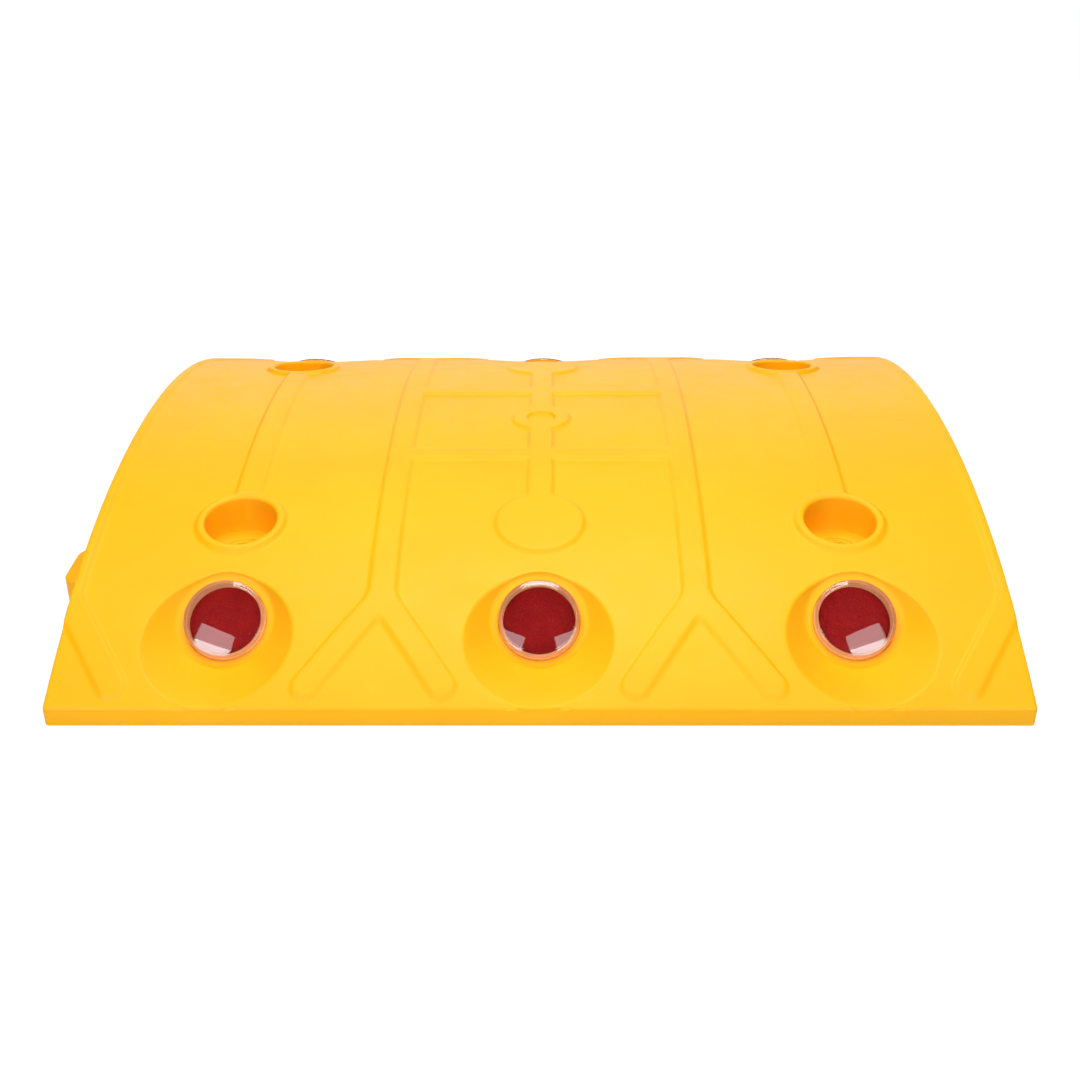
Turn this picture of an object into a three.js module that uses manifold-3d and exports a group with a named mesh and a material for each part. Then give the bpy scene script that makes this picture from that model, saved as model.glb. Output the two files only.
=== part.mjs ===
// Road hump module: one hollow moulded body with six reflectors, three facing each way.
// Millimetres. +X runs along the hump (across the road), +Y is the travel direction, +Z is up.
// The origin is the middle of the 500 x 480 footprint, on the plane that rests on the road.

import * as THREE from 'three';
import { mergeVertices } from 'three/addons/utils/BufferGeometryUtils.js';
import Module from 'manifold-3d';

const wasm = await Module();
wasm.setup();

// ---- driving dimensions -------------------------------------------------------------------

const LENGTH = 500; // along the hump, side face to side face, without the tongues
const DEPTH = 480; // in the travel direction, lip to lip
const LIP_HEIGHT = 10.2; // upright edge that the wheel meets first
const CREST_HEIGHT = 64.9; // smooth surface at the crest, without the ribs
const SHOULDER = [0.874, 0.211]; // shares of the fall that go with t^2 and t^4; the rest goes with t^6

const PITCH = 84; // spacing of the rib pattern along the hump
const RIB_HEIGHT = 1.8; // ribs and discs above the smooth surface
const RIB_WIDTH = 14.5;
const ARM_WIDTH = 14;
const FORK_Y = 175; // where a stem splits into two arms
const ARM_END = { x: 34.7, y: 228 }; // centre of an arm's round end, from its stem
const BAR = { y: 49.3, width: 12.6 }; // cross bars beside the crest
const GATE_RADIUS = 18; // disc on the crest
const DIMPLE = { radius: 8.5, depth: 1.6 };

const BOLT = { x: 2 * PITCH, y: 118 }; // anchor bolt positions
const COLLAR_RADIUS = 25;
const COLLAR_HEIGHT = 2.6;
const COUNTERBORE_RADIUS = 20;
const COUNTERBORE_FLOOR = 37; // above the road
const BOLT_HOLE_RADIUS = 8;

const SEAT = { y: 178, z: 24.8, tilt: 48, radius: 26, flare: 43.5 }; // reflector seat, degrees
const POCKET = { radius: 22, depth: 9 };
const FLARE_HEIGHT = 40; // how far the tapered recess is cut, well past the top surface

const WALL = 5; // skin over the hollow underside
const WEB = 4; // webs of the underside grid
const WEB_PITCH = { x: LENGTH / 10, y: DEPTH / 10 };
const LAST_CELL_Y = 227; // the hollow stops here and the lip is solid

const TONGUE = { y: BOLT.y, width: 40, reach: 18, height: 26, corner: 9 };
const SOCKET_PLAY = 1; // socket over tongue, each side and above
const GAP = 0.3; // clearance between pieces that rest on each other

const ARCH_STEPS = 16;
const ROUND_STEPS = 24;
const REFLECTOR_STEPS = 24;

const YELLOW = 0xfdbe1e;

// ---- helpers ------------------------------------------------------------------------------

function solid(geometry) {
  const bare = geometry.clone();
  bare.deleteAttribute('normal');
  bare.deleteAttribute('uv');
  const merged = mergeVertices(bare, 1e-4);
  const vertProperties = new Float32Array(merged.attributes.position.array);
  const triVerts = new Uint32Array(merged.index.array);
  return new wasm.Manifold(new wasm.Mesh({ numProp: 3, vertProperties, triVerts }));
}

function geometryOf(manifold) {
  const mesh = manifold.getMesh();
  const geometry = new THREE.BufferGeometry();
  geometry.setAttribute('position', new THREE.BufferAttribute(mesh.vertProperties, 3));
  geometry.setIndex(new THREE.BufferAttribute(mesh.triVerts, 1));
  return geometry;
}

function joined(solids) {
  return solids.reduce((all, next) => all.add(next));
}

// An upright prism over a plan outline, from the level low to the level high.
function prism(outline, low, high) {
  const geometry = new THREE.ExtrudeGeometry(outline, { depth: high - low, bevelEnabled: false });
  geometry.translate(0, 0, low);
  return solid(geometry);
}

function disc(x, y, radius, low, high) {
  const geometry = new THREE.CylinderGeometry(radius, radius, high - low, ROUND_STEPS);
  geometry.rotateX(Math.PI / 2);
  geometry.translate(x, y, (low + high) / 2);
  return solid(geometry);
}

function block(low, high) {
  const size = high.map((value, axis) => value - low[axis]);
  const geometry = new THREE.BoxGeometry(...size);
  geometry.translate(...low.map((value, axis) => value + size[axis] / 2));
  return solid(geometry);
}

// ---- the arch -----------------------------------------------------------------------------

// Height of the smooth top surface at y.
function archHeight(y) {
  const t = Math.abs(y) / (DEPTH / 2);
  const [second, fourth] = SHOULDER;
  const fall = second * t ** 2 + fourth * t ** 4 + (1 - second - fourth) * t ** 6;
  return LIP_HEIGHT + (CREST_HEIGHT - LIP_HEIGHT) * (1 - fall);
}

// The space under the arch, moved up by lift, as a prism along X; step is its facet width in Y.
function underArch({ halfDepth, step, lift, x0, x1 }) {
  const outline = new THREE.Shape();
  outline.moveTo(-halfDepth, 0);
  outline.lineTo(halfDepth, 0);
  for (let y = halfDepth; y >= -halfDepth; y -= step) {
    outline.lineTo(y, archHeight(y) + lift);
  }
  const geometry = new THREE.ExtrudeGeometry(outline, { depth: x1 - x0, bevelEnabled: false });
  const toYZX = new THREE.Matrix4().makeBasis(
    new THREE.Vector3(0, 1, 0),
    new THREE.Vector3(0, 0, 1),
    new THREE.Vector3(1, 0, 0),
  );
  geometry.applyMatrix4(toYZX);
  geometry.translate(x0, 0, 0);
  return solid(geometry);
}

function archSlab(lift) {
  const step = DEPTH / ARCH_STEPS;
  return underArch({ halfDepth: DEPTH / 2, step, lift, x0: -LENGTH / 2, x1: LENGTH / 2 });
}

// ---- raised pattern -----------------------------------------------------------------------

// A straight rib between two plan points, with round ends.
function ribOutline(from, to, width) {
  const along = new THREE.Vector2().subVectors(to, from);
  const angle = along.angle();
  const outline = new THREE.Shape();
  outline.absarc(to.x, to.y, width / 2, angle - Math.PI / 2, angle + Math.PI / 2, false);
  outline.absarc(from.x, from.y, width / 2, angle + Math.PI / 2, angle + 1.5 * Math.PI, false);
  return outline;
}

function rib(from, to, width) {
  const geometry = new THREE.ExtrudeGeometry(ribOutline(from, to, width), {
    depth: 2 * CREST_HEIGHT,
    bevelEnabled: false,
    curveSegments: 4,
  });
  return solid(geometry);
}

function at(x, y) {
  return new THREE.Vector2(x, y);
}

// Stem along the travel direction that forks into two arms near each lip.
function forkedRib(x) {
  const pieces = [rib(at(x, -FORK_Y), at(x, FORK_Y), RIB_WIDTH)];
  for (const end of [-1, 1]) {
    for (const side of [-1, 1]) {
      const tip = at(x + side * ARM_END.x, end * ARM_END.y);
      pieces.push(rib(at(x, end * FORK_Y), tip, ARM_WIDTH));
    }
  }
  return joined(pieces);
}

function raisedPattern() {
  const top = 2 * CREST_HEIGHT;
  const pieces = [-3, -1, 1, 3].map((index) => forkedRib(index * PITCH));
  pieces.push(rib(at(0, -BOLT.y), at(0, BOLT.y), RIB_WIDTH));
  pieces.push(disc(0, 0, GATE_RADIUS, 0, top));
  for (const end of [-1, 1]) {
    pieces.push(rib(at(-PITCH, end * BAR.y), at(PITCH, end * BAR.y), BAR.width));
    pieces.push(disc(0, end * BOLT.y, COLLAR_RADIUS, 0, top));
  }
  for (const side of [-1, 1]) {
    pieces.push(rib(at(side * BOLT.x, -BOLT.y), at(side * BOLT.x, BOLT.y), RIB_WIDTH));
  }
  return joined(pieces);
}

// ---- bolt holes and reflector seats -------------------------------------------------------

const BOLT_PLACES = [];
for (const end of [-1, 1]) {
  for (const side of [-1, 1]) {
    BOLT_PLACES.push([side * BOLT.x, end * BOLT.y]);
  }
}

function boltCut([x, y]) {
  const head = disc(x, y, COUNTERBORE_RADIUS, COUNTERBORE_FLOOR, 2 * CREST_HEIGHT);
  return head.add(disc(x, y, BOLT_HOLE_RADIUS, -1, COUNTERBORE_FLOOR + 1));
}

// A reflector's own frame: the origin is on its seat and +Y points out of the seat.
function reflectorPlace(column, end) {
  const tilt = THREE.MathUtils.degToRad(SEAT.tilt);
  const turn = end < 0 ? Math.PI - tilt : tilt;
  return {
    position: new THREE.Vector3(column * BOLT.x, end * SEAT.y, SEAT.z),
    rotation: new THREE.Euler(turn, 0, 0),
  };
}

function lathe(points) {
  const outline = points.map(([radius, height]) => new THREE.Vector2(radius, height));
  return new THREE.LatheGeometry(outline, REFLECTOR_STEPS);
}

// The tapered recess over the seat, with the pocket that holds the reflector below it.
// With a wall thickness it is the outer skin of the recess instead, seen from below.
function seatShape({ position, rotation }, wall) {
  const flare = THREE.MathUtils.degToRad(SEAT.flare);
  const mouth = SEAT.radius + wall / Math.cos(flare);
  const geometry = lathe([
    [0, -POCKET.depth - wall],
    [POCKET.radius + wall, -POCKET.depth - wall],
    [POCKET.radius + wall, 0],
    [mouth, 0],
    [mouth + FLARE_HEIGHT * Math.tan(flare), FLARE_HEIGHT],
    [0, FLARE_HEIGHT],
  ]);
  const turn = new THREE.Quaternion().setFromEuler(rotation);
  geometry.applyMatrix4(new THREE.Matrix4().compose(position, turn, new THREE.Vector3(1, 1, 1)));
  return solid(geometry);
}

const REFLECTOR_PLACES = [];
for (const [end, endName] of [[-1, 'front'], [1, 'rear']]) {
  for (const [column, sideName] of [[-1, 'left'], [0, 'middle'], [1, 'right']]) {
    REFLECTOR_PLACES.push({ name: `${endName}_${sideName}`, ...reflectorPlace(column, end) });
  }
}

// ---- tongues and sockets ------------------------------------------------------------------

// Plan outline of a tongue at the left side face; grow makes the socket's outline from it.
function tongueOutline(end, grow) {
  const root = -LENGTH / 2 + WALL;
  const tip = -LENGTH / 2 - TONGUE.reach - grow;
  const half = TONGUE.width / 2 + grow;
  const corner = TONGUE.corner + grow;
  const middle = end * TONGUE.y;
  const outline = new THREE.Shape();
  outline.moveTo(root, middle - half);
  outline.lineTo(root, middle + half);
  outline.lineTo(tip + corner, middle + half);
  outline.absarc(tip + corner, middle + half - corner, corner, Math.PI / 2, Math.PI, false);
  outline.absarc(tip + corner, middle - half + corner, corner, Math.PI, 1.5 * Math.PI, false);
  outline.closePath();
  return outline;
}

function tongue(end) {
  return prism(tongueOutline(end, 0), 0, TONGUE.height);
}

// The socket in the right side face takes the next module's tongue, and is open below.
function socketCut(end) {
  const cut = prism(tongueOutline(end, SOCKET_PLAY), -1, TONGUE.height + SOCKET_PLAY);
  return cut.translate([LENGTH, 0, 0]);
}

// ---- hollow underside ---------------------------------------------------------------------

function cellBlocks() {
  const blocks = [];
  const columns = Math.ceil(LENGTH / 2 / WEB_PITCH.x);
  const rows = Math.ceil(LAST_CELL_Y / WEB_PITCH.y);
  const edgeX = LENGTH / 2 - WALL;
  for (let column = -columns; column < columns; column += 1) {
    const x0 = Math.max(column * WEB_PITCH.x + WEB / 2, -edgeX);
    const x1 = Math.min((column + 1) * WEB_PITCH.x - WEB / 2, edgeX);
    for (let row = -rows; row < rows; row += 1) {
      const y0 = Math.max(row * WEB_PITCH.y + WEB / 2, -LAST_CELL_Y);
      const y1 = Math.min((row + 1) * WEB_PITCH.y - WEB / 2, LAST_CELL_Y);
      blocks.push(block([x0, y0, -1], [x1, y1, CREST_HEIGHT]));
    }
  }
  return joined(blocks);
}

// What stays solid below the skin: bolt pillars, the skin of the seats and socket walls.
function keptSolid() {
  const kept = BOLT_PLACES.map(([x, y]) => disc(x, y, COLLAR_RADIUS, -2, CREST_HEIGHT));
  kept.push(...REFLECTOR_PLACES.map((place) => seatShape(place, WALL)));
  for (const end of [-1, 1]) {
    const half = TONGUE.width / 2 + SOCKET_PLAY + WALL;
    const inner = LENGTH / 2 - TONGUE.reach - SOCKET_PLAY - WALL;
    const low = [inner, end * TONGUE.y - half, -2];
    kept.push(block(low, [LENGTH / 2, end * TONGUE.y + half, CREST_HEIGHT]));
  }
  return joined(kept);
}

function hollow() {
  const rows = Math.ceil(LAST_CELL_Y / WEB_PITCH.y);
  const room = underArch({
    halfDepth: rows * WEB_PITCH.y,
    step: WEB_PITCH.y,
    lift: -WALL,
    x0: -LENGTH / 2,
    x1: LENGTH / 2,
  });
  const below = block([-LENGTH, -DEPTH, -1], [LENGTH, DEPTH, 1]);
  return cellBlocks().intersect(room.add(below)).subtract(keptSolid());
}

// ---- body ---------------------------------------------------------------------------------

function humpBody() {
  const collars = joined(BOLT_PLACES.map(([x, y]) => disc(x, y, COLLAR_RADIUS, 0, 2 * CREST_HEIGHT)));
  let body = archSlab(0);
  body = body.add(raisedPattern().intersect(archSlab(RIB_HEIGHT)));
  body = body.add(collars.intersect(archSlab(COLLAR_HEIGHT)));
  const dimple = disc(0, 0, DIMPLE.radius, CREST_HEIGHT + RIB_HEIGHT - DIMPLE.depth, 2 * CREST_HEIGHT);
  body = body.subtract(dimple);
  body = body.subtract(joined(REFLECTOR_PLACES.map((place) => seatShape(place, 0))));
  body = body.subtract(hollow());
  body = body.subtract(joined(BOLT_PLACES.map(boltCut)));
  for (const end of [-1, 1]) {
    body = body.add(tongue(end)).subtract(socketCut(end));
  }
  return geometryOf(body);
}

// ---- reflector pieces, in the reflector's own frame ---------------------------------------

const PAD_THICKNESS = 1;
const BACKING_FLANGE = 1.5; // thickness of the backing disc's flange, below the lens
const LENS = { radius: POCKET.radius - GAP, skirtTop: 4.2, crown: 3.8, wall: 2 };
const FILM_THICKNESS = 0.6;
const FILM_TOP = -3.5; // below the seat

const PAD_BOTTOM = -POCKET.depth + GAP;
const BACKING_BOTTOM = PAD_BOTTOM + PAD_THICKNESS + GAP;
const LENS_BOTTOM = BACKING_BOTTOM + BACKING_FLANGE + GAP;
const FILM_RADIUS = LENS.radius - LENS.wall - GAP;

function adhesivePad() {
  const radius = POCKET.radius - 2;
  return lathe([
    [0, PAD_BOTTOM],
    [radius, PAD_BOTTOM],
    [radius, PAD_BOTTOM + PAD_THICKNESS],
    [0, PAD_BOTTOM + PAD_THICKNESS],
  ]);
}

// A stepped disc: the lens's skirt stands on its flange and the film lies on its platform.
function backingDisc() {
  const platform = FILM_TOP - FILM_THICKNESS - GAP;
  return lathe([
    [0, BACKING_BOTTOM],
    [LENS.radius, BACKING_BOTTOM],
    [LENS.radius, BACKING_BOTTOM + BACKING_FLANGE],
    [FILM_RADIUS, BACKING_BOTTOM + BACKING_FLANGE],
    [FILM_RADIUS, platform],
    [0, platform],
  ]);
}

function reflectiveFilm() {
  return lathe([
    [0, FILM_TOP - FILM_THICKNESS],
    [FILM_RADIUS, FILM_TOP - FILM_THICKNESS],
    [FILM_RADIUS, FILM_TOP],
    [0, FILM_TOP],
  ]);
}

// Points on a dome of the given sphere radius, from its rim to its crown at the height top.
function domePoints(sphere, rim, top) {
  const rimAngle = Math.asin(rim / sphere);
  const steps = 4;
  const points = [];
  for (let step = 0; step < steps; step += 1) {
    const angle = rimAngle * (1 - step / steps);
    points.push([sphere * Math.sin(angle), top - sphere * (1 - Math.cos(angle))]);
  }
  points.push([0, top]);
  return points;
}

// A thin-walled domed cap, open below.
function lens() {
  const { radius, crown, skirtTop, wall } = LENS;
  const sphere = (radius ** 2 + crown ** 2) / (2 * crown);
  const inside = domePoints(sphere - wall, radius - wall, skirtTop + crown - wall);
  const outside = domePoints(sphere, radius, skirtTop + crown);
  return lathe([
    ...inside.reverse(),
    [radius - wall, LENS_BOTTOM],
    [radius, LENS_BOTTOM],
    ...outside,
  ]);
}

const REFLECTOR_PIECES = [
  { name: 'adhesive_pad', build: adhesivePad, color: 0xd8d8d2, roughness: 0.95 },
  { name: 'backing_disc', build: backingDisc, color: 0xe6cfa0, roughness: 0.5 },
  { name: 'red_film', build: reflectiveFilm, color: 0x9b1418, roughness: 0.35 },
  { name: 'lens', build: lens, color: 0xf2e6e2, roughness: 0.08 },
];

// ---- assembly -----------------------------------------------------------------------------

function mesh(name, geometry, color, roughness) {
  const material = new THREE.MeshStandardMaterial({ color, roughness, metalness: 0 });
  const part = new THREE.Mesh(geometry, material);
  part.name = name;
  return part;
}

const hump = new THREE.Group();
hump.add(mesh('hump_body', humpBody(), YELLOW, 0.55));

for (const place of REFLECTOR_PLACES) {
  const reflector = new THREE.Group();
  reflector.position.copy(place.position);
  reflector.rotation.copy(place.rotation);
  for (const piece of REFLECTOR_PIECES) {
    reflector.add(mesh(`${piece.name}_${place.name}`, piece.build(), piece.color, piece.roughness));
  }
  hump.add(reflector);
}

export default hump;
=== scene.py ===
"""Road hump module: moulded surface, reflectors and materials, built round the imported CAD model.

Shapes are worked out in millimetres, in the CAD model's own frame, and scaled to metres as each
mesh is made.
"""

import math

import bmesh
import bpy
import numpy as np
from mathutils import Matrix, Vector
from mathutils.geometry import delaunay_2d_cdt


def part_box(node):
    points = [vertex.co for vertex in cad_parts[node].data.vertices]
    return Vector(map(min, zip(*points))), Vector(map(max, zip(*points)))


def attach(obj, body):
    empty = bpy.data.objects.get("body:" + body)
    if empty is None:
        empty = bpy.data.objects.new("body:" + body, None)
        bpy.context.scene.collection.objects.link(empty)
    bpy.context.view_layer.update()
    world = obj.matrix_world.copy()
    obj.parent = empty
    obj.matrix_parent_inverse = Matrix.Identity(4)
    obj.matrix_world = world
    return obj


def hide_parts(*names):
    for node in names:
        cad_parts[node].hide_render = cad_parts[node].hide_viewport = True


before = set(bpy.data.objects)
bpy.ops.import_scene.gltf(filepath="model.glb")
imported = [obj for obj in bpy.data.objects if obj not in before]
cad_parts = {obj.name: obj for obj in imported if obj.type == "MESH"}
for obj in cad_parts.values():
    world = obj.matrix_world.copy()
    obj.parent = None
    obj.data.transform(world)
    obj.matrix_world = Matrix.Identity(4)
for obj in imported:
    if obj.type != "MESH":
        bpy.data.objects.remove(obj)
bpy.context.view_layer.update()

# ---- driving dimensions, as in the CAD model (mm) ----------------------------------------------

MM = 0.001
_, body_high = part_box("hump_body")
HALF_LENGTH = body_high.x / MM
HALF_DEPTH = body_high.y / MM
LIP_HEIGHT = 10.2
RIB_HEIGHT = 1.8
CREST_HEIGHT = body_high.z / MM - RIB_HEIGHT
SHOULDER = (0.874, 0.211)

PITCH = 84.0
RIB_WIDTH = 14.5
ARM_WIDTH = 14.0
FORK_Y = 175.0
ARM_END = (34.7, 228.0)
BAR_Y, BAR_WIDTH = 49.3, 12.6
GATE_RADIUS = 18.0
DIMPLE_RADIUS, DIMPLE_DEPTH = 8.5, 1.6

BOLT_X, BOLT_Y = 2 * PITCH, 118.0
COLLAR_RADIUS, COLLAR_HEIGHT = 25.0, 2.6
BORE_RADIUS, BORE_FLOOR = 20.0, 37.0
BOLT_HOLE_RADIUS = 8.0
WASHER_RING_RADIUS, WASHER_RING_DEPTH = 11.0, 0.8

SEAT_Y, SEAT_Z, SEAT_TILT, SEAT_RADIUS, SEAT_FLARE = 178.0, 24.8, 48.0, 26.0, 43.5
POCKET_RADIUS, POCKET_DEPTH = 22.0, 9.0
CREASE_CENTRE_Y = 200.6

WALL, WEB = 5.0, 4.0
CELL_X, CELL_Y = HALF_LENGTH / 5, HALF_DEPTH / 5
LAST_CELL_Y = 227.0
TONGUE = {"y": BOLT_Y, "width": 40.0, "reach": 18.0, "height": 26.0, "corner": 9.0}
SOCKET_PLAY = 1.0

# ---- finish of the moulding's edges (mm) --------------------------------------------------------

SLOPE_WIDTH = 3.2  # plan width of the slope at a rib's edge
DIMPLE_SLOPE = 1.6
CROTCH = 1.6  # blend length where ribs meet
FORK_CROTCH = 4.0  # the same between the two arms of a fork
EDGE_ROUND = 1.3
CORNER_ROUND = 2.0  # plan radius of the module's four corners
FOOT_ROUND = 0.8
RIM_ROUND = 1.9
CREASE_ROUND = 1.2
SEAT_FILLET = 1.6
TONGUE_FOOT = 0.6  # chamfer round a tongue's foot
CELL_CORNER = 3.0  # plan radius of the underside's cells and of what stands between them

# ---- fineness of the mesh (mm, or a count round a circle) ---------------------------------------

LINE_STEP = 1.6  # spacing of points along a rib's edge
OUTLINE_STEP = 4.0
GRID_STEP = 6.0
CONTOUR_CELL = 1.0
RECESS_STEPS = 140
BORE_STEPS = 96
DIMPLE_STEPS = 12
CORNER_STEPS = 6
TONGUE_STEPS = 16
PILLAR_STEPS = 48
RECESS_SKIN_STEPS = 64
TURNED_STEPS = 128
DOME_STEPS = 26

SNAP = 1e-5  # plan points nearer than this are one point
WELD = 2e-6  # vertices nearer than this are one vertex (m)
SMOOTH_ANGLE = 32  # degrees between faces up to which their edge is shaded smooth

# Lines of points across each rounded edge, as shares of half a rib's slope or of the rounding.
SLOPE_SHARES = (-1.45, -1, -0.5, 0, 0.5, 1, 1.45)
RIM_SHARES = (0.06, 0.25, 0.55, 1, 1.35)
EDGE_SHARES = (0, 0.06, 0.25, 0.55, 1, 1.6)
LINE_CLEARANCE = 0.4  # between those lines and a rim or a recess
GRID_CLEARANCE = 2.0  # between the grid points and a rim or a recess
SLOPE_CLEARANCE = 1.5  # between the grid points and a rib's slope


# ---- heights ------------------------------------------------------------------------------------

def arch(y):
    """Height of the plain arch."""
    t = np.abs(y) / HALF_DEPTH
    second, fourth = SHOULDER
    fall = second * t**2 + fourth * t**4 + (1 - second - fourth) * t**6
    return LIP_HEIGHT + (CREST_HEIGHT - LIP_HEIGHT) * (1 - fall)


def capsule(x, y, a, b, width):
    """Distance to a rib from a to b with round ends, below zero inside it."""
    ax, ay = a
    bx, by = b[0] - ax, b[1] - ay
    along = np.clip(((x - ax) * bx + (y - ay) * by) / (bx * bx + by * by), 0, 1)
    return np.hypot(x - ax - along * bx, y - ay - along * by) - width / 2


def disc(x, y, centre, radius):
    """Distance to a disc, below zero inside it."""
    return np.hypot(x - centre[0], y - centre[1]) - radius


def blended(a, b, length=CROTCH):
    """The smaller of two distances, with their crotch filled."""
    share = np.clip(0.5 + 0.5 * (b - a) / length, 0, 1)
    return b + (a - b) * share - length * share * (1 - share)


def rib_distance(x, y):
    """Distance to the whole raised pattern, below zero inside it."""
    x, y = np.abs(x), np.abs(y)
    arm_x, arm_y = ARM_END
    raised = []
    for stem in (PITCH, 3 * PITCH):
        raised.append(capsule(x, y, (stem, 0), (stem, FORK_Y), RIB_WIDTH))
        arms = []
        for side in (-1, 1):
            arms.append(capsule(x, y, (stem, FORK_Y), (stem + side * arm_x, arm_y), ARM_WIDTH))
        raised.append(blended(*arms, FORK_CROTCH))
    raised += [
        capsule(x, y, (0, 0), (0, BOLT_Y), RIB_WIDTH),
        capsule(x, y, (-PITCH, BAR_Y), (PITCH, BAR_Y), BAR_WIDTH),
        capsule(x, y, (BOLT_X, 0), (BOLT_X, BOLT_Y), RIB_WIDTH),
        disc(x, y, (0, 0), GATE_RADIUS),
        disc(x, y, (0, BOLT_Y), COLLAR_RADIUS),
        disc(x, y, (BOLT_X, BOLT_Y), COLLAR_RADIUS),
    ]
    total = raised[0]
    for distance in raised[1:]:
        total = blended(total, distance)
    return total


def collar_distance(x, y):
    return disc(np.abs(x), np.abs(y), (BOLT_X, BOLT_Y), COLLAR_RADIUS)


def dimple_distance(x, y):
    return disc(x, y, (0, 0), DIMPLE_RADIUS)


def edge_distance(x, y):
    """How far a plan point lies inside the module's outline."""
    past_x = np.abs(x) - (HALF_LENGTH - CORNER_ROUND)
    past_y = np.abs(y) - (HALF_DEPTH - CORNER_ROUND)
    outside = np.hypot(np.maximum(past_x, 0), np.maximum(past_y, 0))
    return CORNER_ROUND - outside - np.minimum(np.maximum(past_x, past_y), 0)


def step(distance, width):
    """1 inside, 0 outside, smooth across the width."""
    t = np.clip(0.5 - distance / width, 0, 1)
    return t * t * (3 - 2 * t)


def round_drop(distance, radius):
    """How far a rounded edge lies below the face, at a distance inside that edge."""
    short = radius - np.clip(distance, 0, radius)
    return radius - np.sqrt(radius**2 - short**2)


def edge_drop(x, y):
    return round_drop(edge_distance(x, y), EDGE_ROUND)


def surface(x, y):
    """Height of the finished top surface, without the holes and recesses."""
    height = arch(y) + RIB_HEIGHT * step(rib_distance(x, y), SLOPE_WIDTH)
    height = height + (COLLAR_HEIGHT - RIB_HEIGHT) * step(collar_distance(x, y), SLOPE_WIDTH)
    height = height - DIMPLE_DEPTH * step(dimple_distance(x, y), DIMPLE_SLOPE)
    bore = disc(np.abs(x), np.abs(y), (BOLT_X, BOLT_Y), BORE_RADIUS)
    return height - round_drop(bore, RIM_ROUND) - edge_drop(x, y)


# ---- lines of the plan --------------------------------------------------------------------------

def level_lines(distance, level):
    """Lines in the quarter x >= 0, y >= 0 along which distance(x, y) equals level."""
    xs = np.linspace(0, HALF_LENGTH, round(HALF_LENGTH / CONTOUR_CELL) + 1)
    ys = np.linspace(0, HALF_DEPTH, round(HALF_DEPTH / CONTOUR_CELL) + 1)
    field = distance(*np.meshgrid(xs, ys, indexing="ij")) - level
    inside = field < 0
    corners = np.stack([inside[:-1, :-1], inside[1:, :-1], inside[1:, 1:], inside[:-1, 1:]])
    mixed = np.argwhere(corners.any(0) & ~corners.all(0))
    links = {}
    for i, j in mixed.tolist():
        # The cell's four sides, each as a grid edge: first index, second index, axis it runs along.
        sides = [(i, j, 0), (i + 1, j, 1), (i, j + 1, 0), (i, j, 1)]
        signs = corners[:, i, j]
        crossed = [side for k, side in enumerate(sides) if signs[k] != signs[(k + 1) % 4]]
        for a, b in zip(crossed[::2], crossed[1::2]):
            links.setdefault(a, []).append(b)
            links.setdefault(b, []).append(a)

    def place(side):
        i, j, axis = side
        ni, nj = (i + 1, j) if axis == 0 else (i, j + 1)
        share = field[i, j] / (field[i, j] - field[ni, nj])
        return xs[i] + share * (xs[ni] - xs[i]), ys[j] + share * (ys[nj] - ys[j])

    lines = []
    while links:
        ends = [side for side, near in links.items() if len(near) == 1]
        side = ends[0] if ends else next(iter(links))
        line = [side]
        while links.get(side):
            following = links[side].pop()
            links[following].remove(side)
            if not links[side]:
                del links[side]
            line.append(following)
            side = following
        links.pop(side, None)
        lines.append(np.array([place(found) for found in line]))
    return lines


def evenly(line, spacing):
    """The same line with points at an even spacing."""
    gaps = np.hypot(*np.diff(line, axis=0).T)
    along = np.concatenate([[0], np.cumsum(gaps)])
    count = max(2, round(along[-1] / spacing))
    wanted = np.linspace(0, along[-1], count + 1)
    return np.column_stack([np.interp(wanted, along, line[:, k]) for k in (0, 1)])


def circle(centre, radius, count, first=0.0, last=2 * math.pi):
    """An arc or a circle, with both its end points."""
    turns = np.linspace(first, last, count + 1)
    return np.column_stack([centre[0] + radius * np.cos(turns), centre[1] + radius * np.sin(turns)])


def inset_outline(inset):
    """The module's outline in the quarter, moved inwards."""
    radius = max(CORNER_ROUND - inset, 0.05)
    centre = (HALF_LENGTH - inset - radius, HALF_DEPTH - inset - radius)
    corner = circle(centre, radius, CORNER_STEPS, 0, math.pi / 2)
    side = evenly(np.array([[HALF_LENGTH - inset, 0], corner[0]]), OUTLINE_STEP)
    lip = evenly(np.array([corner[-1], [0, HALF_DEPTH - inset]]), OUTLINE_STEP)
    return np.vstack([side[:-1], corner, lip[1:]])


class Plan:
    """Points and fixed lines of one quarter, for the triangulation."""

    def __init__(self):
        self.points = []
        self.lines = []

    def add(self, line, keep=None):
        """Adds the line's points, or those to keep, and fixes the lines between neighbours."""
        first = len(self.points)
        place = {}
        for k, point in enumerate(line):
            if keep is None or keep[k]:
                place[k] = first + len(place)
                self.points.append(Vector(point))
        self.lines += [(place[k], place[k + 1]) for k in place if k + 1 in place]

    def triangles(self):
        points, _, faces, _, _, _ = delaunay_2d_cdt(self.points, self.lines, [], 0, SNAP)
        return np.array([point[:] for point in points]), np.array([list(face) for face in faces])


# ---- reflector recess ---------------------------------------------------------------------------

TILT, FLARE = math.radians(SEAT_TILT), math.radians(SEAT_FLARE)
SEAT_OUT = np.array([0, math.cos(TILT), math.sin(TILT)])
SEAT_UP = np.array([0, -math.sin(TILT), math.cos(TILT)])


def seat_point(column, turn, radius, height):
    """A point in the frame of a rear reflector's seat: turn about its axis, radius and height."""
    centre = np.array([column * BOLT_X, SEAT_Y, SEAT_Z])
    across = np.array([math.cos(turn), 0, 0]) + math.sin(turn) * SEAT_UP
    return centre + radius * across + height * SEAT_OUT


def cone_point(column, turn, height):
    """A point on the recess's conical wall."""
    return seat_point(column, turn, SEAT_RADIUS + height * math.tan(FLARE), height)


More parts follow.
